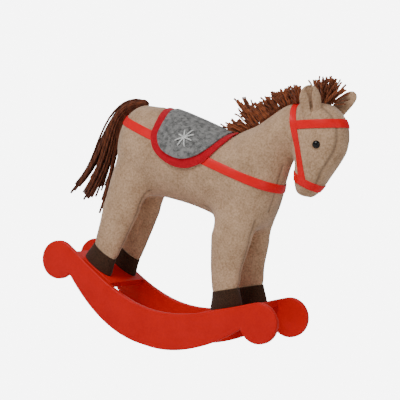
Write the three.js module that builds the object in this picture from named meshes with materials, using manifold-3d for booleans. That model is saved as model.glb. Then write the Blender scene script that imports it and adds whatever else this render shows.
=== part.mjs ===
// Small plush rocking horse: a stuffed velour horse on two curved painted boards joined by two slats.
// Millimetres, +X towards the horse's nose, +Y to its left, +Z up.
import * as THREE from 'three';
import { mergeVertices } from 'three/addons/utils/BufferGeometryUtils.js';
import Module from 'manifold-3d';

const wasm = await Module();
wasm.setup();

// ---------------------------------------------------------------- driving dimensions
const GAP = 0.3; // clearance left between pieces that touch

// rocker frame
const ROCKER_SPAN = 269; // between the centres of a board's two round ends
const ROUND_END_RADIUS = 22.5;
const ROUND_END_HEIGHT = 63.5; // centre of a round end above the floor
const BOARD_DEPTH = 41.5; // depth of a board at mid-length
const BOARD_THICKNESS = 7;
const BOARD_SPACING = 71; // between the inner faces of the two boards
const REST_FLAT = 10; // length of the lowest, flat stretch of a board's edge
const SLAT_LENGTH = 60;
const SLAT_THICKNESS = 8;
const SLAT_ANGLE = THREE.MathUtils.degToRad(23);
const SLAT_REACH = 88; // from mid-length to the middle of a slat
const SLAT_PROUD = 0.7; // slat top above the boards' upper edges
const NAIL = { radius: 1, headRadius: 2.2, headHeight: 1.2, length: 14 };

// horse
const TRUNK_LENGTH = 206;
const TRUNK_HEIGHT = 104;
const TRUNK_WIDTH = 82;
const HEAD_WIDTH = 44;
const SKIN = 1; // velour thickness
const HOOF_HEIGHT = 21;
const LEFT_STEP = { front: 7, rear: 4 }; // how much further forward the left hooves stand than the right ones
const HOOF_WIDTH = 21.4;
const FELT = 2; // hoof felt thickness
const DOWEL = { radius: 4.5, length: 84 };
const SCREW = { radius: 1.6, headRadius: 3.4, headHeight: 2, length: 34 };
const EYE = { radius: 4.6, height: 3.2, shankRadius: 1.5, shankLength: 9, washerRadius: 5, washer: 1.6 };
const EAR = { width: 21, height: 36, thickness: 5 };

// trimmings
const RIBBON = 0.6;
const BODY_BAND_WIDTH = 9.6;
const CROWN_WIDTH = 7.6;
const BROWBAND_WIDTH = 9.6;
const NOSEBAND_WIDTH = 8.6;
const SADDLE_FELT = 1.5;
const STAR_RADIUS = 9.5;
const STITCH_WIDTH = 1.5;
const MANE_WIDTH = 13;
const MANE_TAPE_WIDTH = 6;

// ---------------------------------------------------------------- shape helpers
/** Makes a solid for cutting and joining from a closed geometry. */
function solid(geometry) {
  const plain = geometry.clone();
  plain.deleteAttribute('normal');
  plain.deleteAttribute('uv');
  const merged = mergeVertices(plain, 1e-4);
  const mesh = new wasm.Mesh({
    numProp: 3,
    vertProperties: new Float32Array(merged.attributes.position.array),
    triVerts: new Uint32Array(merged.index.array),
  });
  return new wasm.Manifold(mesh);
}

/** Turns a solid back into a geometry. */
function geometryOf(body) {
  const mesh = body.getMesh();
  const geometry = new THREE.BufferGeometry();
  geometry.setAttribute('position', new THREE.Float32BufferAttribute(mesh.vertProperties, 3));
  geometry.setIndex(new THREE.Uint32BufferAttribute(mesh.triVerts, 1));
  geometry.computeVertexNormals();
  return geometry;
}

/** Joins several solids into one. */
function join(bodies) {
  return bodies.reduce((sum, body) => sum.add(body));
}

/** A box between two corners. */
function box(low, high) {
  const size = low.map((value, axis) => high[axis] - value);
  const geometry = new THREE.BoxGeometry(...size);
  geometry.translate(...low.map((value, axis) => (value + high[axis]) / 2));
  return solid(geometry);
}

/** A round rod between two points. */
function rod(from, to, radius, sides = 8) {
  const start = new THREE.Vector3(...from);
  const end = new THREE.Vector3(...to);
  const geometry = new THREE.CylinderGeometry(radius, radius, start.distanceTo(end), sides);
  const turn = new THREE.Quaternion().setFromUnitVectors(
    new THREE.Vector3(0, 1, 0), end.clone().sub(start).normalize());
  geometry.applyQuaternion(turn);
  geometry.translate(...start.add(end).multiplyScalar(0.5).toArray());
  return solid(geometry);
}

/** A flat outline in the side view (x, z), extruded across the width from y = low to y = high. */
function sidePrism(shape, low, high, curveSegments = 6) {
  const depth = high - low;
  const geometry = new THREE.ExtrudeGeometry(shape, { depth, bevelEnabled: false, curveSegments });
  geometry.rotateX(Math.PI / 2);
  geometry.translate(0, high, 0);
  return solid(geometry);
}

/** A closed side-view shape through the given points. */
function outline(points) {
  return new THREE.Shape(points.map(([x, z]) => new THREE.Vector2(x, z)));
}

/** Key sections smoothed into count + 1 sections. A section is [x1, z1, x2, z2, halfWidth, y]. */
function smooth(keys, count) {
  const rails = [0, 2, 4].map((first) => new THREE.SplineCurve(
    keys.map((key) => new THREE.Vector2(key[first], key[first + 1]))));
  return Array.from({ length: count + 1 }, (_, step) =>
    rails.flatMap((rail) => rail.getPoint(step / count).toArray()));
}

/** A closed body through oval sections, each spanning two side-view points, grown outwards by grow. */
function loft(sections, sides, grow = 0) {
  const positions = [];
  const last = sections.length - 1;
  sections.forEach(([x1, z1, x2, z2, halfWidth, y], row) => {
    const across = new THREE.Vector2(x2 - x1, z2 - z1);
    const half = across.length() / 2 + grow;
    across.normalize();
    const normal = new THREE.Vector2(-across.y, across.x);
    const next = sections[Math.min(row + 1, last)];
    const before = sections[Math.max(row - 1, 0)];
    const travel = new THREE.Vector2(
      next[0] + next[2] - before[0] - before[2], next[1] + next[3] - before[1] - before[3]);
    const ahead = Math.sign(normal.dot(travel));
    const push = row === 0 ? -grow * ahead : row === last ? grow * ahead : 0;
    const centreX = (x1 + x2) / 2 + normal.x * push;
    const centreZ = (z1 + z2) / 2 + normal.y * push;
    for (let side = 0; side < sides; side += 1) {
      const angle = (2 * Math.PI * side) / sides;
      positions.push(
        centreX + across.x * half * Math.cos(angle),
        y + (halfWidth + grow) * Math.sin(angle),
        centreZ + across.y * half * Math.cos(angle));
    }
  });
  const index = [];
  for (let row = 0; row < last; row += 1) {
    for (let side = 0; side < sides; side += 1) {
      const a = row * sides + side;
      const b = row * sides + ((side + 1) % sides);
      index.push(a, b, b + sides, a, b + sides, a + sides);
    }
  }
  for (let side = 1; side < sides - 1; side += 1) {
    index.push(0, side + 1, side);
    index.push(last * sides, last * sides + side, last * sides + side + 1);
  }
  const geometry = new THREE.BufferGeometry();
  geometry.setAttribute('position', new THREE.Float32BufferAttribute(positions, 3));
  geometry.setIndex(index);
  return solid(signedVolume(geometry) < 0 ? flipped(geometry) : geometry);
}

/** Six times the volume that a geometry's faces enclose, negative when they point inwards. */
function signedVolume(geometry) {
  const { position } = geometry.attributes;
  const corner = [0, 1, 2].map(() => new THREE.Vector3());
  let sum = 0;
  for (let face = 0; face < geometry.index.count; face += 3) {
    corner.forEach((point, k) => point.fromBufferAttribute(position, geometry.index.getX(face + k)));
    sum += corner[0].dot(corner[1].clone().cross(corner[2]));
  }
  return sum;
}

/** The same geometry with its faces turned over. */
function flipped(geometry) {
  const index = Array.from(geometry.index.array);
  for (let face = 0; face < index.length; face += 3) {
    [index[face + 1], index[face + 2]] = [index[face + 2], index[face + 1]];
  }
  geometry.setIndex(index);
  return geometry;
}

/** A slab of a given width round a slanted line in the side view, as wide as the horse. */
function slab(from, to, width, reach = 200) {
  const start = new THREE.Vector2(...from);
  const along = new THREE.Vector2(...to).sub(start).normalize();
  const off = new THREE.Vector2(-along.y, along.x).multiplyScalar(width / 2);
  const a = start.clone().addScaledVector(along, -reach);
  const b = start.clone().addScaledVector(along, reach);
  const corners = [a.clone().sub(off), b.clone().sub(off), b.clone().add(off), a.clone().add(off)];
  return sidePrism(new THREE.Shape(corners), -TRUNK_WIDTH, TRUNK_WIDTH);
}

// ---------------------------------------------------------------- rocker boards
const HALF_SPAN = ROCKER_SPAN / 2;
const UPPER_MEET = THREE.MathUtils.degToRad(115); // where the upper edge runs into a round end
const LOWER_MEET = THREE.MathUtils.degToRad(212); // where the lower edge meets it in a notch

/** A point on a round end's rim; side is 1 at the front and -1 at the rear. */
function rim(angle, side) {
  return new THREE.Vector2(
    side * (HALF_SPAN + ROUND_END_RADIUS * Math.cos(angle)),
    ROUND_END_HEIGHT + ROUND_END_RADIUS * Math.sin(angle));
}

const upperEnd = rim(UPPER_MEET, 1);
const EDGE_PULL = HALF_SPAN / 3;
const upperEdge = new THREE.CubicBezierCurve(
  new THREE.Vector2(0, BOARD_DEPTH),
  new THREE.Vector2(EDGE_PULL, BOARD_DEPTH),
  new THREE.Vector2(
    upperEnd.x - EDGE_PULL * Math.sin(UPPER_MEET), upperEnd.y + EDGE_PULL * Math.cos(UPPER_MEET)),
  upperEnd);

/** Height of the boards' upper edge at a distance from mid-length. */
function edgeHeight(distance) {
  const points = upperEdge.getPoints(80);
  const after = points.findIndex((point) => point.x >= distance);
  const [low, high] = [points[after - 1], points[after]];
  return THREE.MathUtils.mapLinear(distance, low.x, high.x, low.y, high.y);
}

/** The side outline of a rocker board. */
function boardShape() {
  const half = [...upperEdge.getPoints(7)];
  const arcSteps = 10;
  for (let step = 1; step <= arcSteps; step += 1) {
    const angle = THREE.MathUtils.mapLinear(step, 0, arcSteps, UPPER_MEET, LOWER_MEET - 2 * Math.PI);
    half.push(rim(angle, 1));
  }
  const notch = half.at(-1);
  const lowerSteps = 7;
  for (let step = lowerSteps - 1; step >= 0; step -= 1) {
    const x = THREE.MathUtils.mapLinear(step, 0, lowerSteps, REST_FLAT / 2, notch.x);
    const rise = (x - REST_FLAT / 2) / (notch.x - REST_FLAT / 2);
    half.push(new THREE.Vector2(x, notch.y * rise * rise));
  }
  const mirrored = half.slice(1).reverse().map((point) => new THREE.Vector2(-point.x, point.y));
  return new THREE.Shape([...half, ...mirrored]);
}

/** The side-view frame of a slat: its middle on top, and its directions. end is 1 front, -1 rear. */
function slatFrame(end) {
  const along = new THREE.Vector2(end * Math.cos(SLAT_ANGLE), Math.sin(SLAT_ANGLE));
  const up = new THREE.Vector2(-end * Math.sin(SLAT_ANGLE), Math.cos(SLAT_ANGLE));
  const top = new THREE.Vector2(end * SLAT_REACH, edgeHeight(SLAT_REACH) + SLAT_PROUD);
  const at = (s, h) => top.clone().addScaledVector(along, s).addScaledVector(up, h);
  return { along, up, top, at };
}

const frames = { front: slatFrame(1), rear: slatFrame(-1) };
const INNER_FACE = BOARD_SPACING / 2;
const OUTER_FACE = INNER_FACE + BOARD_THICKNESS;
const SIDES = { right: -1, left: 1 };
const ENDS = { front: 1, rear: -1 };

/** A slat, a block between the boards, before its holes. */
function slatBlock(frame) {
  const corners = [
    frame.at(-SLAT_LENGTH / 2, -SLAT_THICKNESS), frame.at(SLAT_LENGTH / 2, -SLAT_THICKNESS),
    frame.at(SLAT_LENGTH / 2, 0), frame.at(-SLAT_LENGTH / 2, 0)];
  return sidePrism(new THREE.Shape(corners), -INNER_FACE + GAP, INNER_FACE - GAP);
}

/** A nail through a board into the end of a slat, or the hole for it when grown. */
function nail(frame, side, grow = 0) {
  const middle = frame.at(0, -SLAT_THICKNESS / 2);
  const at = (y) => [middle.x, side * y, middle.y];
  const headEnd = OUTER_FACE + (grow > 0 ? 1 : 0);
  const shank = rod(at(OUTER_FACE - NAIL.length - grow), at(OUTER_FACE - 0.1), NAIL.radius + grow, 6);
  const head = rod(at(OUTER_FACE - NAIL.headHeight - grow), at(headEnd), NAIL.headRadius + grow, 8);
  return shank.add(head);
}

// ---------------------------------------------------------------- horse body
const STAND = frames.front.top.y; // height that the horse stands at
const LONG = TRUNK_LENGTH / 206;
const TALL = TRUNK_HEIGHT / 104;
const WIDE = TRUNK_WIDTH / 82;
const HEAD_WIDE = HEAD_WIDTH / 44;

/** A side-view point of the horse, from the middle of the frame and up from its soles. */
function pt(x, z) {
  return [x * LONG, STAND + z * TALL];
}

/** A section across the trunk or neck. */
function section(x1, z1, x2, z2, halfWidth) {
  return [...pt(x1, z1), ...pt(x2, z2), halfWidth * WIDE, 0];
}

/** A section across the head. */
function headSection(x1, z1, x2, z2, halfWidth) {
  return [...pt(x1, z1), ...pt(x2, z2), halfWidth * HEAD_WIDE, 0];
}

const trunkKeys = [
  section(-102, 142, -102, 169, 10), section(-97, 118, -97, 184, 24), section(-85, 100, -85, 194.5, 34),
  section(-60, 93, -60, 197, 40), section(-30, 95, -30, 195, 41), section(0, 95, 0, 191, 40),
  section(30, 92, 30, 186, 39), section(58, 86, 58, 186, 38), section(82, 84, 82, 182, 36),
  section(99, 91, 99, 171, 31), section(105, 103, 105, 160, 21), section(107.5, 114, 107.5, 149, 11)];
const neckKeys = [
  section(38, 150, 86, 108, 34), section(44, 190, 109, 134, 34), section(66, 203, 112, 157, 29),
  section(81, 217, 115, 176, 24), section(92, 228, 121, 188, 21), section(102, 235, 132, 192, 17)];
const headKeys = [
  headSection(116, 238, 147, 241, 9), headSection(106, 231, 159, 235, 18),
  headSection(107, 219, 170, 224, 22), headSection(110, 205, 175, 208, 22.5),
  headSection(114, 190, 175, 194, 21.5), headSection(119, 176, 169, 178, 19.5),
  headSection(122, 163, 163, 165, 18.5), headSection(125, 151, 158, 153, 17),
  headSection(129, 141, 152, 143, 12.5), headSection(134, 136.5, 147, 137.5, 7)];

const LEGS = {
  front: {
    hip: section(45, 126, 98, 122, 10), thigh: section(44, 97, 101, 95, 16), bow: -3.5, foot: -3, halfFoot: 19.5,
  },
  rear: {
    hip: section(-92, 142, -38, 136, 9), thigh: section(-99, 111, -42, 105, 16.5), bow: 0, foot: 2, halfFoot: 20.5,
  },
};
const HOOF_Y = INNER_FACE - HOOF_WIDTH / 2 - 1.2; // hoof centre line, clear of the boards
const HIP_Y = HOOF_Y * 0.88;

/** The sections of a hoof, bottom first: the sole on its slat, and the rim. */
function hoofSections(end, side) {
  const frame = frames[end];
  const leg = LEGS[end];
  const y = side * HOOF_Y;
  const step = side > 0 ? ENDS[end] * LEFT_STEP[end] : 0;
  const ring = (shift, half, height, halfWidth) => {
    const back = frame.at(leg.foot + step + shift - half, height);
    const front = frame.at(leg.foot + step + shift + half, height);
    return [back.x, back.y, front.x, front.y, halfWidth, y];
  };
  return [
    ring(0, leg.halfFoot, GAP, HOOF_WIDTH / 2),
    ring(0.6, leg.halfFoot + 0.2, HOOF_HEIGHT * 0.35, HOOF_WIDTH / 2),
    ring(1.5, leg.halfFoot - 1.2, HOOF_HEIGHT, HOOF_WIDTH / 2 - 0.4)];
}

/** The sections of a leg, bottom first, inside its hoof and up into the trunk. */
function legSections(end, side) {
  const leg = LEGS[end];
  const hoof = hoofSections(end, side).map((ring) => shrink(ring, FELT - SKIN));
  const lift = (ring, y) => [...ring.slice(0, 5), side * y];
  const ordered = ENDS[end] > 0 ? (ring) => ring : flipRing;
  const thigh = ordered(lift(leg.thigh, HIP_Y));
  const hip = ordered(lift(leg.hip, HIP_Y));
  const knee = thigh.map((value, k) => (value + hoof[2][k]) / 2);
  knee[0] += leg.bow;
  knee[2] += leg.bow;
  return [hoof[0], hoof[2], knee, thigh, hip];
}

/** The same section named from its other end. */
function flipRing([x1, z1, x2, z2, halfWidth, y]) {
  return [x2, z2, x1, z1, halfWidth, y];
}

/** A section made smaller all round. */
function shrink([x1, z1, x2, z2, halfWidth, y], by) {
  const along = new THREE.Vector2(x2 - x1, z2 - z1).normalize().multiplyScalar(by);
  return [x1 + along.x, z1 + along.y, x2 - along.x, z2 - along.y, halfWidth - by, y];
}

const trunk = (grow) => loft(smooth(trunkKeys, 11), 14, grow);
const neck = (grow) => loft(smooth(neckKeys, 5), 12, grow);
const head = (grow) => loft(smooth(headKeys, 9), 12, grow);
const leg = (end, side, grow) => loft(smooth(legSections(end, side), 5), 10, grow);
const PAIRS = Object.keys(ENDS).flatMap((end) =>
  Object.entries(SIDES).map(([name, side]) => ({ end, name, side })));

/** Trunk and neck together, grown outwards: what the saddle and the body band lie on. */
function torso(grow) {
  return trunk(grow).add(neck(grow));
}

/** The whole stuffed horse, grown outwards. */
function horse(grow) {
  return join([torso(grow), head(grow), ...PAIRS.map(({ end, side }) => leg(end, side, grow))]);
}

/** The block round a leg's lower end, from below the slat up to a height over it. */
function footBlock(end, low, high) {
  const frame = frames[end];
  const corners = [frame.at(-60, low), frame.at(60, low), frame.at(60, high), frame.at(-60, high)];
  const ordered = ENDS[end] > 0 ? corners : corners.reverse();
  return sidePrism(new THREE.Shape(ordered), -TRUNK_WIDTH, TRUNK_WIDTH);
}

/** Two ends of a leg's dowel or screw line: up from the sole along the leg. */
function legLine(end, side) {
  const [sole, , , thigh] = legSections(end, side);
  const start = new THREE.Vector3((sole[0] + sole[2]) / 2, sole[5], (sole[1] + sole[3]) / 2);
  const aim = new THREE.Vector3((thigh[0] + thigh[2]) / 2, thigh[5], (thigh[1] + thigh[3]) / 2);
  const direction = aim.sub(start).normalize();
  return (distance) => start.clone().addScaledVector(direction, distance).toArray();
}

const SOLE_TOP = GAP + FELT; // felt sole over the slat
const DOWEL_FOOT = SOLE_TOP + 2 * GAP + 1; // start of the dowel along the leg line
const FILL = -SKIN - GAP; // the filling's surface, under the skin

/** A leg's wooden dowel, or the hole for it when grown. */
function dowel(end, side, grow = 0) {
  const line = legLine(end, side);
  return rod(line(DOWEL_FOOT - grow), line(DOWEL_FOOT + DOWEL.length + grow), DOWEL.radius + grow, 8);
}

/** A screw from under a slat into a leg's dowel, or the hole for it when grown. */
function screw(end, side, grow = 0) {
  const line = legLine(end, side);
  const headTop = -SLAT_THICKNESS + 1;
  const headBottom = headTop - SCREW.headHeight - (grow > 0 ? 6 : 0);
  const tip = headTop + SCREW.length + grow;
  const shank = rod(line(headTop - 0.2), line(tip), SCREW.radius + grow, 6);
  return shank.add(rod(line(headBottom), line(headTop + grow), SCREW.headRadius + grow, 8));
}

// ---------------------------------------------------------------- eyes, ears
const EYE_SPOT = pt(147.5, 196.5);
const EYE_FACE = (HEAD_WIDTH / 2) * 0.985; // crown of the cheek, where the eye's dome sits
const CHEEK_EDGE = (HEAD_WIDTH / 2) * 0.84; // lowest part of the cheek under the eye's washer

/** An eye: a dome on a shank that goes in through the cheek. */
function eye(side) {
  const profile = [new THREE.Vector2(0, EYE.height)];
  const steps = 3;
  for (let step = 1; step <= steps; step += 1) {
    const angle = (Math.PI / 2) * (step / steps);
    profile.push(new THREE.Vector2(EYE.radius * Math.sin(angle), EYE.height * Math.cos(angle)));
  }
  profile.push(new THREE.Vector2(EYE.shankRadius, 0));
  profile.push(new THREE.Vector2(EYE.shankRadius, -EYE.shankLength), new THREE.Vector2(0, -EYE.shankLength));
  const geometry = new THREE.LatheGeometry(profile.reverse(), 12);
  if (side < 0) geometry.rotateZ(Math.PI);
  geometry.translate(EYE_SPOT[0], side * (EYE_FACE + 2 * GAP), EYE_SPOT[1]);
  return solid(geometry);
}

/** A rod across the cheek at the eye, between two distances from the middle plane. */
function eyeRod(side, low, high, radius) {
  return rod([EYE_SPOT[0], side * low, EYE_SPOT[1]], [EYE_SPOT[0], side * high, EYE_SPOT[1]], radius, 10);
}

const WASHER_OUT = CHEEK_EDGE - SKIN - GAP;
const WASHER_IN = WASHER_OUT - EYE.washer;
const EAR_SPOTS = {
  right: { base: pt(134, 227), lean: -0.2, splay: 0.42, turn: -0.35 },
  left: { base: pt(141, 228.5), lean: 0.4, splay: 0.42, turn: 0.35 },
};
const EAR_BASE_Y = HEAD_WIDTH * 0.31;

/** An ear: a rounded leaf of two layers of velour, standing up and outwards. */
function ear(name) {
  const side = SIDES[name];
  const spot = EAR_SPOTS[name];
  const shape = new THREE.Shape();
  const half = EAR.width / 2;
  shape.moveTo(-half * 0.55, -4);
  shape.bezierCurveTo(-half, EAR.height * 0.25, -half * 1.15, EAR.height * 0.8, 0, EAR.height);
  shape.bezierCurveTo(half * 1.15, EAR.height * 0.8, half, EAR.height * 0.25, half * 0.55, -4);
  const geometry = new THREE.ExtrudeGeometry(shape, {
    depth: EAR.thickness, bevelEnabled: false, curveSegments: 7 });
  geometry.translate(0, 0, -EAR.thickness / 2);
  geometry.rotateX(Math.PI / 2);
  geometry.rotateZ(spot.turn);
  geometry.rotateX(-side * spot.splay);
  geometry.rotateY(spot.lean);
  geometry.translate(spot.base[0], side * EAR_BASE_Y, spot.base[1]);
  return solid(geometry);
}

// ---------------------------------------------------------------- velour panels
const UNDER_HALF = HOOF_Y; // half width of the underside gusset between the legs' middles
const CHEST_HALF = 11 * WIDE;
const FACE_HALF = 14.5 * HEAD_WIDE;

/** The zone of the underside gusset: belly, inner legs and a strip up the chest. */
function underZone(grow = 0) {
  const [chestX, chestTop] = pt(90, 172);
  const [throatX, bellyTop] = pt(118, 104);
  const belly = box([-HALF_SPAN, -UNDER_HALF - grow, 0], [HALF_SPAN, UNDER_HALF + grow, bellyTop + grow]);
  const chest = box(
    [chestX - grow, -CHEST_HALF - grow, bellyTop - 6], [throatX, CHEST_HALF + grow, chestTop + grow]);
  return belly.add(chest);
}

/** The zone of the face gusset: a strip from the poll down the face to the nose. */
function faceZone(grow = 0) {
  const points = [pt(140, 260), pt(190, 260), pt(190, 146), pt(146, 146), pt(146, 215), pt(140, 225)];
  const strip = outline(points.reverse().map(([x, z]) => [x - grow, z]));
  return sidePrism(strip, -FACE_HALF - grow, FACE_HALF + grow);
}

// ---------------------------------------------------------------- saddle, ribbons, yarn
/** A saddle felt's side outline, open upwards over the back. */
function saddleShape(points) {
  const curve = new THREE.SplineCurve(points.map(([x, z]) => new THREE.Vector2(...pt(x, z))));
  const rear = pt(points[0][0], 260);
  const front = pt(points.at(-1)[0], 260);
  return new THREE.Shape([new THREE.Vector2(...rear), ...curve.getPoints(16), new THREE.Vector2(...front)]);
}

const BACKING = [
  [-50, 205], [-49, 196], [-46.5, 183], [-44.5, 166], [-35, 151], [-16, 141], [5, 139.5],
  [21, 146], [32, 156], [41, 175], [45, 192], [46, 205]];
const SEAT = [
  [-40, 205], [-39, 196], [-37, 184], [-35.5, 167], [-25, 154], [-8, 149], [6, 150.5],
  [20, 158], [30, 170], [36, 183], [39, 193], [40, 205]];
const STAR_SPOT = pt(-4, 172);
const ON_SKIN = GAP; // ribbon's underside over the skin
const BACKING_UNDER = ON_SKIN + RIBBON + GAP;
const SEAT_UNDER = BACKING_UNDER + SADDLE_FELT + GAP;
const STAR_UNDER = SEAT_UNDER + SADDLE_FELT + GAP;

/** A felt layer of the saddle, draped over the torso. */
function saddleLayer(points, under) {
  const shell = torso(under + SADDLE_FELT).subtract(torso(under));
  return shell.intersect(sidePrism(saddleShape(points), -TRUNK_WIDTH, TRUNK_WIDTH));
}

/** An embroidered star of eight straight stitches on one side of the saddle. */
function star(side) {
  const arms = [];
  for (let arm = 0; arm < 4; arm += 1) {
    const angle = (Math.PI / 4) * (arm + 0.5);
    const reach = [Math.cos(angle) * STAR_RADIUS, Math.sin(angle) * STAR_RADIUS];
    const from = [STAR_SPOT[0] - reach[0], STAR_SPOT[1] - reach[1]];
    const to = [STAR_SPOT[0] + reach[0], STAR_SPOT[1] + reach[1]];
    arms.push(slab(STAR_SPOT, to, STITCH_WIDTH, Math.hypot(to[0] - from[0], to[1] - from[1]) / 2));
  }
  const [low, high] = side > 0 ? [0, TRUNK_WIDTH] : [-TRUNK_WIDTH, 0];
  const half = box([-HALF_SPAN, low, 0], [HALF_SPAN, high, 400]);
  const shell = torso(STAR_UNDER + 1).subtract(torso(STAR_UNDER));
  return shell.intersect(join(arms)).intersect(half);
}

const bodyBand = { from: pt(-97, 174.5), to: pt(106, 139.5) };
const crown = { from: pt(106, 236), to: pt(139, 157) };
const brow = { from: pt(118, 213), to: pt(166, 225) };
const nose = { from: pt(130, 157.5), to: pt(158, 150) };

/** Everything on one side of a slanted side-view line, moved off it by shift. */
function halfSpace({ from, to }, shift, side) {
  const start = new THREE.Vector2(...from);
  const along = new THREE.Vector2(...to).sub(start).normalize();
  const off = new THREE.Vector2(-along.y, along.x).multiplyScalar(side);
  const depth = 300;
  const middle = start.clone().addScaledVector(off, shift + depth / 2);
  return slab(middle.toArray(), middle.clone().add(along).toArray(), depth, 300);
}

/** A ribbon lying on a grown body along a slanted plane. */
function ribbon(body, { from, to }, width) {
  return body(ON_SKIN + RIBBON).subtract(body(ON_SKIN)).intersect(slab(from, to, width));
}

const headAndNeck = (grow) => head(grow).add(neck(grow));
const aboveNoseband = halfSpace(nose, NOSEBAND_WIDTH / 2 + GAP, 1);
const beforeCrown = halfSpace(crown, CROWN_WIDTH / 2 + GAP, 1);

const MANE_LINE = [[40, 192], [52, 196], [67, 205], [81, 219], [92, 229], [101, 234.5]];
const MANE_TOP = [[98, 252], [88, 249], [76, 241], [62, 232], [50, 222], [40, 206]];
const SADDLE_FRONT = pt(47, 0)[0]; // just before the saddle's front edge

/** The yarn mane: an upright comb of cut ends along the crest of the neck. */
function maneYarn() {
  const low = MANE_LINE.map(([x, z]) => pt(x + 4, z - 8));
  const shape = outline([...low, ...MANE_TOP.map(([x, z]) => pt(x, z))]);
  const comb = sidePrism(shape, -MANE_WIDTH / 2, MANE_WIDTH / 2);
  const saddled = torso(STAR_UNDER).intersect(
    box([-HALF_SPAN, -TRUNK_WIDTH, 0], [SADDLE_FRONT, TRUNK_WIDTH, 400]));
  return comb.subtract(headAndNeck(ON_SKIN + 1 + GAP)).subtract(trunk(ON_SKIN + 1 + GAP)).subtract(saddled);
}

/** The tape that the mane is sewn to, along the crest seam. */
function maneTape() {
  const low = MANE_LINE.map(([x, z]) => pt(x + 4, z - 10));
  const high = [...MANE_LINE].reverse().map(([x, z]) => pt(x - 4, z + 10));
  const strip = sidePrism(outline([...low, ...high]), -MANE_TAPE_WIDTH / 2, MANE_TAPE_WIDTH / 2);
  const shell = headAndNeck(ON_SKIN + 1).subtract(headAndNeck(ON_SKIN));
  const clear = saddleLayer(BACKING, BACKING_UNDER);
  return shell.intersect(strip).subtract(trunk(ON_SKIN + 1)).subtract(clear);
}

const forelockKeys = [
  headSection(131, 236, 143, 238, 4), headSection(126, 246, 147, 246, 7),
  headSection(123, 256, 150, 253, 8.5), headSection(122, 264, 148, 261, 8), headSection(126, 270, 140, 268, 4)];

const TAIL_YARN = [
  [-89.5, 199, -91.5, 193, 4.2], [-98, 199.5, -100.5, 187, 6.5], [-112, 192, -106, 175, 10.5],
  [-126, 169, -107, 162, 13], [-135, 140, -109, 139, 14], [-140, 112, -110, 112, 14],
  [-152, 91, -113, 86, 13.5], [-167, 71, -119, 57, 11]].map((key) => section(...key));
const TAIL_BINDING = [
  [-81.5, 195.4, -81.5, 199, 2.4], [-84, 194.6, -84, 201, 4.2], [-87.5, 192.5, -86.5, 200.5, 4.9],
].map((key) => section(...key));

// ---------------------------------------------------------------- assembly
const part = new THREE.Group();
const finish = (color, roughness, metalness = 0) => ({ color, roughness, metalness });
const PAINT = finish(0xc4241a, 0.45);
const STEEL = finish(0x9a9a9a, 0.35, 0.9);
const VELOUR = finish(0xbb9c80, 0.95);
const FIBRE = finish(0xf2efe8, 1);
const HOOF_FELT = finish(0x35261e, 0.95);
const RED_FELT = finish(0xb8122a, 0.95);
const GREY_FELT = finish(0x7b8080, 0.95);
const SATIN = finish(0xe02018, 0.35);
const YARN = finish(0x6a301a, 0.9);
const THREAD = finish(0xf4f4f0, 0.8);
const BEECH = finish(0xd8b887, 0.6);
const BLACK_PLASTIC = finish(0x0a0a0a, 0.1);

/** Adds one named piece. */
function add(name, body, look) {
  const mesh = new THREE.Mesh(geometryOf(body), new THREE.MeshStandardMaterial(look));
  mesh.name = name;
  part.add(mesh);
}

// rocker frame
const nails = PAIRS.map(({ end, side }) => nail(frames[end], side, GAP));
const screws = PAIRS.map(({ end, side }) => screw(end, side, GAP));
for (const [name, side] of Object.entries(SIDES)) {
  const [low, high] = side > 0 ? [INNER_FACE, OUTER_FACE] : [-OUTER_FACE, -INNER_FACE];
  add(`rocker_${name}`, sidePrism(boardShape(), low, high).subtract(join(nails)), PAINT);
}
for (const end of Object.keys(ENDS)) {
  add(`${end}_slat`, slatBlock(frames[end]).subtract(join(nails)).subtract(join(screws)), PAINT);
}
for (const { end, name, side } of PAIRS) {
  add(`${end}_nail_${name}`, nail(frames[end], side), STEEL);
}

// legs, from the slats up
const skin = horse(0).subtract(horse(-SKIN));
const dowels = PAIRS.map(({ end, side }) => dowel(end, side, GAP));
for (const { end, name, side } of PAIRS) {
  const hoof = loft(smooth(hoofSections(end, side), 2), 10);
  const inside = leg(end, side, -SKIN).intersect(footBlock(end, SOLE_TOP, HOOF_HEIGHT * 3));
  const rimmed = hoof.intersect(footBlock(end, 0, HOOF_HEIGHT));
  const hoofHoles = dowel(end, side, GAP).add(screw(end, side, GAP));
  add(`${end}_hoof_${name}`, rimmed.subtract(inside).subtract(hoofHoles), HOOF_FELT);
  add(`${end}_leg_dowel_${name}`, dowel(end, side).subtract(screw(end, side, GAP)), BEECH);
  add(`${end}_hoof_screw_${name}`, screw(end, side), STEEL);
  const stuffing = leg(end, side, FILL).intersect(footBlock(end, SOLE_TOP + GAP, 400));
  add(`${end}_leg_filling_${name}`, stuffing.subtract(trunk(FILL + GAP)).subtract(hoofHoles), FIBRE);
}

// stuffing of the body
add('trunk_filling', trunk(FILL).subtract(join(dowels)), FIBRE);
add('neck_filling', neck(FILL).subtract(trunk(FILL + GAP)), FIBRE);
const eyePockets = Object.values(SIDES).map((side) =>
  eyeRod(side, WASHER_IN - GAP, HEAD_WIDTH, EYE.washerRadius + GAP)
    .add(eyeRod(side, EYE_FACE - EYE.shankLength - 1, HEAD_WIDTH, EYE.shankRadius + GAP)));
add('head_filling', head(FILL).subtract(torso(FILL + GAP)).subtract(join(eyePockets)), FIBRE);

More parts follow.
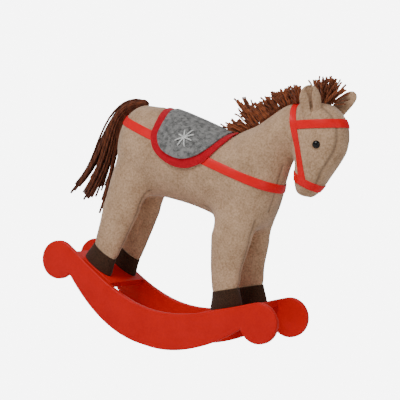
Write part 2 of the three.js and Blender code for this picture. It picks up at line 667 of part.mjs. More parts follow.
// velour panels
const feet = Object.keys(ENDS).map((end) => footBlock(end, -60, HOOF_HEIGHT + GAP));
const eyeHoles = Object.values(SIDES).map((side) => eyeRod(side, 5, HEAD_WIDTH, EYE.shankRadius + GAP));
const cloth = skin.subtract(join(feet)).subtract(join(eyeHoles));
add('under_gusset', cloth.intersect(underZone()), VELOUR);
add('face_gusset', cloth.intersect(faceZone()), VELOUR);
const sideCloth = cloth.subtract(underZone(GAP)).subtract(faceZone(GAP));
for (const [name, side] of Object.entries(SIDES)) {
  const [low, high] = side > 0 ? [GAP / 2, TRUNK_WIDTH] : [-TRUNK_WIDTH, -GAP / 2];
  add(`side_panel_${name}`, sideCloth.intersect(box([-HALF_SPAN, low, 0], [2 * HALF_SPAN, high, 500])), VELOUR);
}

// face
for (const [name, side] of Object.entries(SIDES)) {
  add(`eye_${name}`, eye(side), BLACK_PLASTIC);
  const washer = eyeRod(side, WASHER_IN, WASHER_OUT, EYE.washerRadius);
  add(`eye_washer_${name}`, washer.subtract(eyeRod(side, 0, HEAD_WIDTH, EYE.shankRadius + GAP)), BLACK_PLASTIC);
  add(`ear_${name}`, ear(name).subtract(horse(GAP)), VELOUR);
}

// ribbons
add('body_ribbon', ribbon(torso, bodyBand, BODY_BAND_WIDTH), SATIN);
add('crown_ribbon', ribbon(headAndNeck, crown, CROWN_WIDTH).intersect(aboveNoseband), SATIN);
add('brow_ribbon', ribbon(headAndNeck, brow, BROWBAND_WIDTH).intersect(beforeCrown), SATIN);
add('nose_ribbon', ribbon(head, nose, NOSEBAND_WIDTH), SATIN);

// saddle
add('saddle_backing', saddleLayer(BACKING, BACKING_UNDER), RED_FELT);
add('saddle_top', saddleLayer(SEAT, SEAT_UNDER), GREY_FELT);
add('star_right', star(SIDES.right), THREAD);
add('star_left', star(SIDES.left), THREAD);

// mane, forelock, tail
add('mane_tape', maneTape().subtract(horse(GAP)), YARN);
add('mane_yarn', maneYarn(), YARN);
add('forelock_yarn', loft(smooth(forelockKeys, 4), 8).subtract(horse(2 * GAP)), YARN);
add('tail_binding', loft(TAIL_BINDING, 10).subtract(trunk(GAP)), THREAD);
add('tail_yarn', loft(smooth(TAIL_YARN, 8), 10).subtract(trunk(GAP)), YARN);

// the origin is the middle of the whole part's footprint, on the floor
const extent = new THREE.Box3().setFromObject(part);
const middle = extent.getCenter(new THREE.Vector3());
part.position.set(-middle.x, 0, -extent.min.z);

export default part;
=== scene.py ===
import math
import random

import bmesh
import bpy
from mathutils import Matrix, Vector, geometry
from mathutils.bvhtree import BVHTree


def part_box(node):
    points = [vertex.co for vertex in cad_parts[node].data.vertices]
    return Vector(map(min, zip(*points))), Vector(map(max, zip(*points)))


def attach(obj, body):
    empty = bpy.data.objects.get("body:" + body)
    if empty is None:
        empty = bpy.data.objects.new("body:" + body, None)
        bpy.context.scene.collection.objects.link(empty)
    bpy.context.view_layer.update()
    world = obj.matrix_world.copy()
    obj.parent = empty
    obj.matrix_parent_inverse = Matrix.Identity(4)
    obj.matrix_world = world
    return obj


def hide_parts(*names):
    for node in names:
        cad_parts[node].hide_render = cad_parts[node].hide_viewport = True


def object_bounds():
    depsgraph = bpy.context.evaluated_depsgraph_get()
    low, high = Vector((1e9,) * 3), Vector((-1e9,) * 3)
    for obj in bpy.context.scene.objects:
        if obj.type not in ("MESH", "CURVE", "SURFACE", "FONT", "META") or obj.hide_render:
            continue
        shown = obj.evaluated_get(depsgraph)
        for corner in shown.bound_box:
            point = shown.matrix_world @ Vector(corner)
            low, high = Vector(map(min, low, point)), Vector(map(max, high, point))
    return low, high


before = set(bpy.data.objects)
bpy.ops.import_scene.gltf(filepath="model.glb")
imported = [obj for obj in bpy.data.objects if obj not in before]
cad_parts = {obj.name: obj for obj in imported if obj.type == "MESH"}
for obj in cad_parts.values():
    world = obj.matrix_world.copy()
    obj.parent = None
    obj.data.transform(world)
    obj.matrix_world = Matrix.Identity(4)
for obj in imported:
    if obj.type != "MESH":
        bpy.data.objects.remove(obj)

cad_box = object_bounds()
low, high = (Vector(corner) for corner in cad_box)

# ---- Camera, light and floor -------------------------------------------------------------
# The toy is seen from its right and a little from the front, at about shelf height. The camera
# is rolled, so that the level toy shows the nose-down lean that it takes when it rocks forward.
azimuth = math.radians(28.5)
elevation = math.radians(6.8)
roll = math.radians(11.7)
camera_distance = 1.435
aim = Vector(((low.x + high.x) / 2 + 0.0082, 0, low.z + 0.505 * (high.z - low.z)))
turn = Matrix.Rotation(azimuth, 4, "Z") @ Matrix.Rotation(math.pi / 2 - elevation, 4, "X")
turn = turn @ Matrix.Rotation(roll, 4, "Z")
camera = bpy.data.objects.new("camera", bpy.data.cameras.new("camera"))
camera.data.lens = 113.9
camera.data.sensor_width = 36
camera.matrix_world = Matrix.Translation(aim + turn.col[2].to_3d() * camera_distance) @ turn
bpy.context.collection.objects.link(camera)
bpy.context.scene.camera = camera


def studio_light(name, place, size, power):
    light = bpy.data.objects.new(name, bpy.data.lights.new(name, "AREA"))
    light.data.size = size
    light.data.energy = power
    facing = (Vector(place) - aim).to_track_quat("Z", "Y")
    light.matrix_world = Matrix.Translation(place) @ facing.to_matrix().to_4x4()
    bpy.context.collection.objects.link(light)


studio_light("key_light", (-0.35, -1.2, 1.45), 0.9, 20)
studio_light("front_light", (1.5, -0.7, 0.8), 1.0, 4)
studio_light("back_light", (-0.9, 1.2, 1.3), 1.4, 3)
paper_glow = 7


def seen_bright(tree, lit, bright, out):
    """Lets the camera see one shader, and the light paths another."""
    path, mix = tree.nodes.new("ShaderNodeLightPath"), tree.nodes.new("ShaderNodeMixShader")
    bright.inputs["Strength"].default_value = paper_glow
    tree.links.new(path.outputs["Is Camera Ray"], mix.inputs[0])
    tree.links.new(lit.outputs[0], mix.inputs[1])
    tree.links.new(bright.outputs[0], mix.inputs[2])
    tree.links.new(mix.outputs[0], tree.nodes[out].inputs["Surface"])


world = bpy.data.worlds.new("studio")
world.use_nodes = True
sky = world.node_tree.nodes["Background"]
sky.inputs["Color"].default_value = (1, 1, 1, 1)
sky.inputs["Strength"].default_value = 0.26
seen_bright(world.node_tree, sky, world.node_tree.nodes.new("ShaderNodeBackground"), "World Output")
bpy.context.scene.world = world

floor = bmesh.new()
floor_edge = [floor.verts.new((-4, y, 0)) for y in (-4, 1.6)]
floor.edges.new(floor_edge)
sweep_up = bmesh.ops.spin(floor, geom=[floor_edge[1]], cent=(-4, 1.6, 1.0), axis=(1, 0, 0),
                          angle=math.pi / 2, steps=16, dvec=(0, 0, 0))
curve_end = [v for v in sweep_up["geom_last"] if isinstance(v, bmesh.types.BMVert)]
wall_top = bmesh.ops.extrude_vert_indiv(floor, verts=curve_end)
bmesh.ops.translate(floor, verts=wall_top["verts"], vec=(0, 0, 3))
width = bmesh.ops.extrude_edge_only(floor, edges=floor.edges[:])
far_side = [v for v in width["geom"] if isinstance(v, bmesh.types.BMVert)]
bmesh.ops.translate(floor, verts=far_side, vec=(8, 0, 0))
floor_mesh = bpy.data.meshes.new("studio_floor")
floor.to_mesh(floor_mesh)
floor_mesh.shade_smooth()
studio_floor = bpy.data.objects.new("studio_floor", floor_mesh)
bpy.context.collection.objects.link(studio_floor)
paper = bpy.data.materials.new("studio_paper")
paper.use_nodes = True
diffuse = paper.node_tree.nodes["Principled BSDF"]
diffuse.inputs["Base Color"].default_value = (0.86, 0.86, 0.85, 1)
diffuse.inputs["Roughness"].default_value = 0.9
seen_bright(paper.node_tree, diffuse, paper.node_tree.nodes.new("ShaderNodeEmission"), "Material Output")
floor_mesh.materials.append(paper)

# ---- Rocker boards -----------------------------------------------------------------------
# Two curved boards, sawn from 7 mm plywood to one pattern: a deep arc between two round ends,
# with a notch under each end. The edges are rubbed round, and all of it is sprayed red.
end_radius = 0.0225
end_height = 0.0635
board_depth = 0.0415
rest_flat = 0.010
edge_round = 0.0014
upper_meet = math.radians(115)
lower_meet = math.radians(-148)
board_low, board_high = (Vector(corner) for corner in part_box("rocker_right"))
board_middle = (board_low.x + board_high.x) / 2
half_span = (board_high.x - board_low.x) / 2 - end_radius


def finished(name, bm, material, body="horse", replaces=(), smooth_angle=40):
    """Turns a bmesh into a piece that rides on a body, with its material."""
    mesh = bpy.data.meshes.new(name)
    bm.to_mesh(mesh)
    bm.free()
    mesh.materials.append(material)
    mesh.shade_smooth()
    if smooth_angle:
        mesh.set_sharp_from_angle(angle=math.radians(smooth_angle))
    piece = bpy.data.objects.new(name, mesh)
    bpy.context.collection.objects.link(piece)
    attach(piece, body)
    if replaces:
        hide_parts(*replaces)
    return piece


def board_outline():
    """The front half of a board's outline, from the middle of the upper edge round to the rest."""
    centre = Vector((half_span, end_height))

    def rim(angle):
        return centre + end_radius * Vector((math.cos(angle), math.sin(angle)))

    pull = half_span / 3
    along = Vector((math.sin(upper_meet), -math.cos(upper_meet)))
    start = Vector((0, board_depth))
    upper = geometry.interpolate_bezier(start, start + Vector((pull, 0)), rim(upper_meet) - pull * along,
                                        rim(upper_meet), 28)
    arc = [rim(upper_meet + (lower_meet - upper_meet) * step / 40) for step in range(1, 41)]
    notch = arc[-1]
    rest = Vector((rest_flat / 2, 0))
    knee = Vector(((notch.x + rest.x) / 2, 0))
    lower = geometry.interpolate_bezier(notch, notch.lerp(knee, 2 / 3), rest.lerp(knee, 2 / 3), rest, 36)
    return [Vector(point) for point in upper] + arc + [Vector(point) for point in lower[1:]]


def rocker_board(name, inner_y, outer_y):
    half = board_outline()
    ring = half + [Vector((-point.x, point.y)) for point in reversed(half[1:])]
    bm = bmesh.new()
    corners = [bm.verts.new((board_middle + point.x, inner_y, point.y)) for point in ring]
    face = bm.faces.new(corners)
    thick = bmesh.ops.extrude_face_region(bm, geom=[face])
    moved = [v for v in thick["geom"] if isinstance(v, bmesh.types.BMVert)]
    bmesh.ops.translate(bm, verts=moved, vec=(0, outer_y - inner_y, 0))
    bmesh.ops.recalc_face_normals(bm, faces=bm.faces)
    sides = [edge for edge in bm.edges if abs(edge.verts[0].co.y - edge.verts[1].co.y) < 1e-6]
    bmesh.ops.bevel(bm, geom=sides, offset=edge_round, offset_type="OFFSET", segments=3, profile=0.5,
                    affect="EDGES", material=-1, clamp_overlap=True)
    finished(name, bm, red_paint, replaces=[name], smooth_angle=35)


def grain_group():
    """Fine and broad mottling from one noise field, for paint, felt and velour."""
    tree = bpy.data.node_groups.new("mottling", "ShaderNodeTree")
    socket = tree.interface.new_socket
    socket("Broad Size", in_out="INPUT", socket_type="NodeSocketFloat")
    socket("Fine Size", in_out="INPUT", socket_type="NodeSocketFloat")
    socket("Stretch", in_out="INPUT", socket_type="NodeSocketVector")
    socket("Broad", in_out="OUTPUT", socket_type="NodeSocketFloat")
    socket("Fine", in_out="OUTPUT", socket_type="NodeSocketFloat")
    nodes, links = tree.nodes, tree.links
    given, out = nodes.new("NodeGroupInput"), nodes.new("NodeGroupOutput")
    place, stretch = nodes.new("ShaderNodeTexCoord"), nodes.new("ShaderNodeVectorMath")
    stretch.operation = "MULTIPLY"
    links.new(place.outputs["Object"], stretch.inputs[0])
    links.new(given.outputs["Stretch"], stretch.inputs[1])
    for size, result, detail in (("Broad Size", "Broad", 3), ("Fine Size", "Fine", 6)):
        noise = nodes.new("ShaderNodeTexNoise")
        noise.inputs["Detail"].default_value = detail
        noise.inputs["Roughness"].default_value = 0.6
        links.new(stretch.outputs[0], noise.inputs["Vector"])
        links.new(given.outputs[size], noise.inputs["Scale"])
        links.new(noise.outputs["Fac"], out.inputs[result])
    return tree


mottling = grain_group()


def new_finish(name, roughness, broad_size, fine_size, stretch=(1, 1, 1)):
    """A material with its shader and a mottling group, ready for colours and bump."""
    material = bpy.data.materials.new(name)
    material.use_nodes = True
    nodes = material.node_tree.nodes
    shader = nodes["Principled BSDF"]
    shader.inputs["Roughness"].default_value = roughness
    grain = nodes.new("ShaderNodeGroup")
    grain.node_tree = mottling
    grain.inputs["Broad Size"].default_value = broad_size
    grain.inputs["Fine Size"].default_value = fine_size
    grain.inputs["Stretch"].default_value = stretch
    return material, nodes, material.node_tree.links, shader, grain


def colour_range(nodes, links, fac, dark, light, start=0.3, stop=0.7):
    """A ramp from a dark to a light colour, driven by a mask."""
    ramp = nodes.new("ShaderNodeValToRGB")
    ramp.color_ramp.elements[0].position = start
    ramp.color_ramp.elements[0].color = (*dark, 1)
    ramp.color_ramp.elements[1].position = stop
    ramp.color_ramp.elements[1].color = (*light, 1)
    links.new(fac, ramp.inputs["Fac"])
    return ramp.outputs["Color"]


def blended(nodes, links, fac, first, second):
    """Two colours mixed by a mask or a number."""
    mix = nodes.new("ShaderNodeMix")
    mix.data_type = "RGBA"
    for value, name in ((fac, "Factor"), (first, "A"), (second, "B")):
        wanted = "VALUE" if name == "Factor" else "RGBA"
        socket = next(s for s in mix.inputs if s.name == name and s.type == wanted)
        if isinstance(value, (int, float, tuple)):
            socket.default_value = value
        else:
            links.new(value, socket)
    return mix.outputs[2]


def bumped(nodes, links, shader, height, strength, distance, under=None):
    """A bump from a height, on top of another normal if one is given."""
    bump = nodes.new("ShaderNodeBump")
    bump.inputs["Strength"].default_value = strength
    bump.inputs["Distance"].default_value = distance
    links.new(height, bump.inputs["Height"])
    if under:
        links.new(under, bump.inputs["Normal"])
    links.new(bump.outputs["Normal"], shader.inputs["Normal"])
    return bump.outputs["Normal"]


def paint_material():
    material, nodes, links, shader, grain = new_finish("red_paint", 0.42, 22, 420)
    red = colour_range(nodes, links, grain.outputs["Broad"], (0.64, 0.006, 0.003), (0.80, 0.010, 0.005))
    specks = colour_range(nodes, links, grain.outputs["Fine"],
                          (0.56, 0.005, 0.003), (0.88, 0.014, 0.008), 0.25, 0.8)
    links.new(blended(nodes, links, 0.35, red, specks), shader.inputs["Base Color"])
    shader.inputs["Specular IOR Level"].default_value = 0.22
    bumped(nodes, links, shader, grain.outputs["Fine"], 0.12, 0.0004)
    return material


red_paint = paint_material()
right_low, right_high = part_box("rocker_right")
left_low, left_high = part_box("rocker_left")
rocker_board("rocker_right", right_high[1], right_low[1])
rocker_board("rocker_left", left_low[1], left_high[1])

# ---- Slats -------------------------------------------------------------------------------
# Two flat slats that hold the boards apart and carry the hooves. They are sawn from 8 mm strip,
# tilted with the boards' curve, and painted with them.
slat_angle = math.radians(23)
slat_length = 0.060
slat_thickness = 0.008


def slat(name, end):
    slat_low, slat_high = (Vector(corner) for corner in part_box(name))
    bm = bmesh.new()
    bmesh.ops.create_cube(bm, size=1)
    slat_width = slat_high.y - slat_low.y + 0.0004
    bmesh.ops.scale(bm, vec=(slat_length, slat_width, slat_thickness), verts=bm.verts)
    bmesh.ops.bevel(bm, geom=bm.edges[:], offset=0.0009, offset_type="OFFSET", segments=3, profile=0.5,
                    affect="EDGES", material=-1, clamp_overlap=True)
    bmesh.ops.rotate(bm, cent=(0, 0, 0), matrix=Matrix.Rotation(-end * slat_angle, 3, "Y"), verts=bm.verts)
    bmesh.ops.translate(bm, vec=(slat_low + slat_high) / 2, verts=bm.verts)
    finished(name, bm, red_paint, replaces=[name], smooth_angle=35)


slat("front_slat", 1)
slat("rear_slat", -1)

# ---- Nails -------------------------------------------------------------------------------
# Four round wire nails, driven through the boards into the ends of the slats. Their heads are
# set just under the surface and painted over, so each shows as a small dark dimple. Here the heads
# sit almost flush, and the dimple's shade is painted into their dark red-brown colour.
# Painted shade: the nail heads are coloured dark red-brown to stand in for the shade in the dimples over
# them.
nail_steel_painted_shade, nodes, links, shader, grain = new_finish("nail_steel_painted_shade", 0.38, 60, 900)
shader.inputs["Base Color"].default_value = (0.10, 0.045, 0.04, 1)
shader.inputs["Metallic"].default_value = 0.7
nail_profile = [(0, -0.00005), (0.0009, -0.0001), (0.00135, -0.0003), (0.0014, -0.0006), (0.0009, -0.0009),
                (0.0007, -0.0012), (0.0007, -0.0125), (0, -0.0138)]


def spun(profile, steps):
    """A round piece, spun about +Z from its profile of radii and heights."""
    bm = bmesh.new()
    ring = [bm.verts.new((radius, 0, height)) for radius, height in profile]
    line = [bm.edges.new(pair) for pair in zip(ring, ring[1:])]
    bmesh.ops.spin(bm, geom=ring + line, cent=(0, 0, 0), axis=(0, 0, 1), angle=2 * math.pi,
                   steps=steps, use_merge=True, dvec=(0, 0, 0))
    bmesh.ops.remove_doubles(bm, verts=bm.verts, dist=1e-7)
    bmesh.ops.recalc_face_normals(bm, faces=bm.faces)
    return bm


sides = {"right": -1, "left": 1}
outer_face = {"right": right_low[1], "left": left_high[1]}
for end in ("front", "rear"):
    for side_name, side in sides.items():
        node = f"{end}_nail_{side_name}"
        nail_low, nail_high = (Vector(corner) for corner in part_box(node))
        spot = (nail_low + nail_high) / 2
        spot.y = outer_face[side_name]
        nail = spun(nail_profile, 20)
        outwards = Matrix.Translation(spot) @ Matrix.Rotation(-side * math.pi / 2, 4, "X")
        bmesh.ops.transform(nail, matrix=outwards, verts=nail.verts)
        finished(node, nail, nail_steel_painted_shade, replaces=[node])

# ---- Leg dowels and screws ---------------------------------------------------------------
# Inside each leg a beech dowel runs up from the sole, and a pan-head screw from under the slat
# goes into its end. They hold the toy upright, and only the screw heads can be seen.
beech, nodes, links, shader, grain = new_finish("beech", 0.55, 60, 500, (1, 1, 0.12))
wood = colour_range(nodes, links, grain.outputs["Broad"], (0.42, 0.25, 0.12), (0.62, 0.42, 0.22))
links.new(wood, shader.inputs["Base Color"])
bumped(nodes, links, shader, grain.outputs["Fine"], 0.2, 0.0003)
zinc, nodes, links, shader, grain = new_finish("zinc_steel", 0.35, 80, 1500)
plating = colour_range(nodes, links, grain.outputs["Fine"], (0.45, 0.45, 0.44), (0.62, 0.62, 0.60))
links.new(plating, shader.inputs["Base Color"])
shader.inputs["Metallic"].default_value = 0.9


def dressed(node, material):
    """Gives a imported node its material."""
    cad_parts[node].data.materials.clear()
    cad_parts[node].data.materials.append(material)


for end in ("front", "rear"):
    for side_name in sides:
        dressed(f"{end}_leg_dowel_{side_name}", beech)
        dressed(f"{end}_hoof_screw_{side_name}", zinc)

# ---- Stuffed body ------------------------------------------------------------------------
# A velour skin of two side panels, an underside gusset that runs up the chest, and a face
# gusset, sewn inside out, turned and stuffed with fibre. The seams pull in as shallow grooves,
# and the velour along them is darkened with painted shade.
origin_x = board_middle
sole_height = 0.0654
leg_middle = 0.0236
skin_voxel = 0.0028
pump_frames = 20
chest_seam = 0.011
face_seam = 0.0145
far_from_seams = 0.02
seam_width = 0.0011
seam_depth = 0.0007


def at(x, z, y=0.0):
    """A point of the horse in mm: from the middle of the rockers, and up from its soles."""
    return Vector((origin_x + x / 1000, y / 1000, sole_height + z / 1000))


def evaluated(bm, kind, **settings):
    """The same mesh after one modifier."""
    mesh = bpy.data.meshes.new("blank")
    bm.to_mesh(mesh)
    bm.free()
    blank = bpy.data.objects.new("blank", mesh)
    bpy.context.collection.objects.link(blank)
    modifier = blank.modifiers.new("step", kind)
    for key, value in settings.items():
        setattr(modifier, key, value)
    made = bmesh.new()
    made.from_object(blank, bpy.context.evaluated_depsgraph_get())
    bpy.data.objects.remove(blank)
    return made


def relaxed(bm, verts, passes):
    """Smooths some vertices towards their neighbours."""
    for _ in range(passes):
        bmesh.ops.smooth_vert(bm, verts=verts, factor=0.5, use_axis_x=True, use_axis_y=True, use_axis_z=True)


def keep_outer_shell(bm):
    """Drops every shell but the one with the most vertices."""
    left, largest = set(bm.verts), set()
    while left:
        island, edge = set(), [left.pop()]
        while edge:
            vertex = edge.pop()
            island.add(vertex)
            near = [e.other_vert(vertex) for e in vertex.link_edges]
            edge += [v for v in near if v in left]
            left.difference_update(near)
        largest = max(largest, island, key=len)
    bmesh.ops.delete(bm, geom=[v for v in bm.verts if v not in largest], context="VERTS")


def pumped(bm, held, pressure, most):
    """Blows a closed skin up with cloth pressure, holding some vertices, by at most a distance."""
    mesh = bpy.data.meshes.new("skin")
    bm.to_mesh(mesh)
    skin = bpy.data.objects.new("skin", mesh)
    bpy.context.collection.objects.link(skin)
    skin.vertex_groups.new(name="held").add([v.index for v in bm.verts if held(v.co)], 1, "REPLACE")
    cloth = skin.modifiers.new("cloth", "CLOTH")
    cloth.settings.quality = 5
    cloth.settings.mass = 0.2
    cloth.settings.tension_stiffness = 12
    cloth.settings.compression_stiffness = 12
    cloth.settings.bending_stiffness = 0.4
    cloth.settings.use_pressure = True
    cloth.settings.uniform_pressure_force = pressure
    cloth.settings.vertex_group_mass = "held"
    cloth.settings.effector_weights.gravity = 0
    cloth.point_cache.frame_start = 1
    cloth.point_cache.frame_end = pump_frames
    for frame_number in range(1, pump_frames + 1):
        bpy.context.scene.frame_set(frame_number)
    blown = skin.evaluated_get(bpy.context.evaluated_depsgraph_get()).data
    for vertex, moved in zip(bm.verts, blown.vertices):
        step = moved.co - vertex.co
        if step.length > most:
            step = step.normalized() * most
        vertex.co += step
    bpy.context.scene.frame_set(1)
    bpy.data.objects.remove(skin)


stuffed_nodes = ["trunk_filling", "neck_filling", "head_filling", "under_gusset", "face_gusset",
                 "side_panel_right", "side_panel_left"]
stuffed_nodes += [f"{end}_leg_filling_{side_name}" for end in ("front", "rear") for side_name in sides]
core_nodes = [f"{end}_leg_dowel_{side_name}" for end in ("front", "rear") for side_name in sides]
core_nodes += [f"eye_washer_{side_name}" for side_name in sides]
stuffed = bmesh.new()
for node in stuffed_nodes + core_nodes:
    stuffed.from_mesh(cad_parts[node].data)
bmesh.ops.remove_doubles(stuffed, verts=stuffed.verts, dist=1e-6)
stuffed = evaluated(stuffed, "REMESH", mode="VOXEL", voxel_size=skin_voxel)
keep_outer_shell(stuffed)
low_joints = [v for v in stuffed.verts if 0.142 < v.co.z < 0.205]
relaxed(stuffed, stuffed.verts, 8)
relaxed(stuffed, low_joints, 40)
stuffed.normal_update()
for vertex in stuffed.verts:
    on_head = vertex.co.x > origin_x + 0.112 and vertex.co.z > 0.19
    vertex.co += vertex.normal * (0.0012 if on_head else 0.0004)
slat_middle = {"front": at(88, 0), "rear": at(-88, 0)}
slat_along = {"front": Vector((math.cos(slat_angle), 0, math.sin(slat_angle))),
              "rear": Vector((-math.cos(slat_angle), 0, math.sin(slat_angle)))}
slat_up = {"front": Vector((-math.sin(slat_angle), 0, math.cos(slat_angle))),
           "rear": Vector((math.sin(slat_angle), 0, math.cos(slat_angle)))}


def above_slat(point):
    """Height of a point over the nearer slat's top."""
    end = "front" if point.x > origin_x else "rear"
    return (point - slat_middle[end]).dot(slat_up[end])


pumped(stuffed, lambda point: above_slat(point) < 0.024, 4.0, 0.0025)
relaxed(stuffed, stuffed.verts, 2)
stuffed = evaluated(stuffed, "SUBSURF", levels=1, render_levels=1)
stuffed.normal_update()
seam_shade_layer = stuffed.verts.layers.float.new("seam_shade")


def seam_distance(point):
    """Distance from the nearest seam, in metres."""
    x, z, y = (point.x - origin_x) * 1000, (point.z - sole_height) * 1000, abs(point.y)
    distances = [far_from_seams]
    if 84 < x < 125 and 112 < z < 168:
        distances.append(abs(y - chest_seam))
    if x > 138 and z > 148:
        distances.append(abs(y - min(face_seam, 0.0105 + (z - 148) * 0.00018)))
    if (40 < x < 138 and z > 180) or (x < -60 and z > 120):
        distances.append(y)
    if z < 104 and y > 0.006 and above_slat(point) > 0.02:
        distances.append(abs(y - leg_middle))
    return min(distances)


# The seam mask kept on each vertex pulls the velour in along the seams, and the velour's colour is darkened
# by it as painted shade.
for vertex in stuffed.verts:
    pulled = math.exp(-(seam_distance(vertex.co) / seam_width) ** 2)
    vertex[seam_shade_layer] = pulled
    vertex.co -= vertex.normal * seam_depth * pulled


def velour_material():
    material, nodes, links, shader, grain = new_finish("velour", 0.95, 52, 480)
    pile = colour_range(nodes, links, grain.outputs["Broad"],
                        (0.430, 0.255, 0.143), (0.660, 0.420, 0.258), 0.36, 0.62)
    nap = colour_range(nodes, links, grain.outputs["Fine"],
                       (0.330, 0.183, 0.098), (0.800, 0.540, 0.342), 0.34, 0.66)
    mixed = blended(nodes, links, 0.5, pile, nap)
    # Painted shade: the velour is darkened toward brown along the seams, by the seam mask, for the shade in
    # their grooves.
    seam_shade = nodes.new("ShaderNodeAttribute")
    seam_shade.attribute_name = "seam_shade"
    shade = nodes.new("ShaderNodeMath")
    shade.operation = "MULTIPLY"
    shade.inputs[1].default_value = 0.55
    links.new(seam_shade.outputs["Fac"], shade.inputs[0])
    shaded = blended(nodes, links, shade.outputs[0], mixed, (0.10, 0.06, 0.04, 1))
    links.new(shaded, shader.inputs["Base Color"])
    shader.inputs["Sheen Weight"].default_value = 0.35
    shader.inputs["Sheen Roughness"].default_value = 0.5
    shader.inputs["Specular IOR Level"].default_value = 0.15
    under = bumped(nodes, links, shader, grain.outputs["Broad"], 0.4, 0.0014)
    bumped(nodes, links, shader, grain.outputs["Fine"], 0.45, 0.0009, under)
    return material


velour = velour_material()
surface = BVHTree.FromBMesh(stuffed)
skin_copy = stuffed.copy()
plush = finished("plush_body", stuffed, velour, replaces=stuffed_nodes, smooth_angle=0)


def on_skin(start, direction, reach=0.3):
    """Where a line from a point meets the plush skin, and the skin's normal there."""
    return surface.ray_cast(start, direction, reach)[:2]


# ---- Hooves ------------------------------------------------------------------------------
# Cups of 2 mm dark brown felt round the foot of each leg, cut square at the top. Each is sewn
# up at the back and glued to the slat under its flat sole.
dark_felt, nodes, links, shader, grain = new_finish("hoof_felt", 0.95, 120, 1100)
wool = colour_range(nodes, links, grain.outputs["Fine"],
                    (0.014, 0.006, 0.003), (0.105, 0.050, 0.028), 0.3, 0.75)
links.new(wool, shader.inputs["Base Color"])
shader.inputs["Sheen Weight"].default_value = 0.15
shader.inputs["Specular IOR Level"].default_value = 0.1
bumped(nodes, links, shader, grain.outputs["Fine"], 0.6, 0.0008)
# middle along the slat, half length, and how much further out the left hoof stands, in mm
hoof_shape = {"front": (-3.0, 19.5, 7.0), "rear": (2.0, 20.5, -4.0)}
for end, (foot, half, left_step) in hoof_shape.items():
    for side_name, side in sides.items():
        step = left_step if side > 0 else 0
        ankle = [(v.co - slat_middle[end]).dot(slat_along[end]) * 1000 for v in skin_copy.verts
                 if abs(above_slat(v.co) - 0.0215) < 0.0015 and v.co.y * side > 0
                 and (v.co.x - origin_x) * slat_along[end].x > 0]
        rim = (min(ankle) + max(ankle)) / 2 - foot - step
        rim_half = (max(ankle) - min(ankle)) / 2 + 0.7
        hoof = bmesh.new()
        rings = []
        for shift, length, width, height in (
                (0, half - 1.5, 9.6, 0.0), (0, half - 0.3, 10.5, 0.5), (0.1, half, 10.9, 1.6),
                (rim * 0.25, half + (rim_half - half) * 0.15, 10.9, 6.0),
                (rim * 0.7, half + (rim_half - half) * 0.7, 10.5, 14.0), (rim, rim_half, 10.2, 21.0)):
            centre = (slat_middle[end] + slat_along[end] * (foot + step + shift) / 1000
                      + slat_up[end] * (height + 0.1) / 1000 + Vector((0, side * leg_middle, 0)))
            basis = Matrix((slat_along[end], Vector((0, 1, 0)), slat_up[end])).transposed().to_4x4()
            place = Matrix.Translation(centre) @ basis @ Matrix.Diagonal((length / 1000, width / 1000, 1, 1))
            made = bmesh.ops.create_circle(hoof, cap_ends=not rings, segments=40, radius=1, matrix=place)
            rings.append(list({edge for v in made["verts"] for edge in v.link_edges}))
        for lower, upper in zip(rings, rings[1:]):
            bmesh.ops.bridge_loops(hoof, edges=lower + upper)
        bmesh.ops.recalc_face_normals(hoof, faces=hoof.faces)
        cup = finished(f"{end}_hoof_{side_name}", hoof, dark_felt,
                       replaces=[f"{end}_hoof_{side_name}"], smooth_angle=50)
        felt = cup.modifiers.new("felt", "SOLIDIFY")
        felt.thickness = 0.002
        felt.offset = -1
        soft_edge = cup.modifiers.new("soft_edge", "BEVEL")
        soft_edge.width = 0.0004
        soft_edge.segments = 2

# ---- Eyes --------------------------------------------------------------------------------
# Two 9 mm black plastic domes on shanks, pushed through the velour and held by lock washers
# inside the head. They are highly polished, and sink a little into the pile.
black_gloss, nodes, links, shader, grain = new_finish("black_plastic", 0.09, 90, 1400)
ink = colour_range(nodes, links, grain.outputs["Broad"], (0.003, 0.003, 0.003), (0.008, 0.007, 0.007))
links.new(ink, shader.inputs["Base Color"])
shader.inputs["Specular IOR Level"].default_value = 0.35
bumped(nodes, links, shader, grain.outputs["Broad"], 0.04, 0.0003)
dome_turns = [math.pi / 2 * step / 10 for step in range(11)]
eye_profile = [(0.0044 * math.sin(angle), 0.0034 * math.cos(angle)) for angle in dome_turns]
eye_profile += [(0.0041, -0.0005), (0.0015, -0.0006), (0.0015, -0.009), (0, -0.0092)]
for side_name, side in sides.items():
    eye_low, eye_high = (Vector(corner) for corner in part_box(f"eye_{side_name}"))
    middle = (eye_low + eye_high) / 2
    spot, normal = on_skin(Vector((middle.x, side * 0.09, middle.z)), Vector((0, -side, 0)))
    eye = spun(eye_profile, 32)
    aim_out = Vector((0, side, 0)).lerp(normal, 0.5).to_track_quat("Z", "Y").to_matrix().to_4x4()
    place = Matrix.Translation((spot.x, spot.y - side * 0.0006, spot.z)) @ aim_out
    bmesh.ops.transform(eye, matrix=place, verts=eye.verts)
    finished(f"eye_{side_name}", eye, black_gloss, replaces=[f"eye_{side_name}"],
             smooth_angle=30)
    dressed(f"eye_washer_{side_name}", black_gloss)

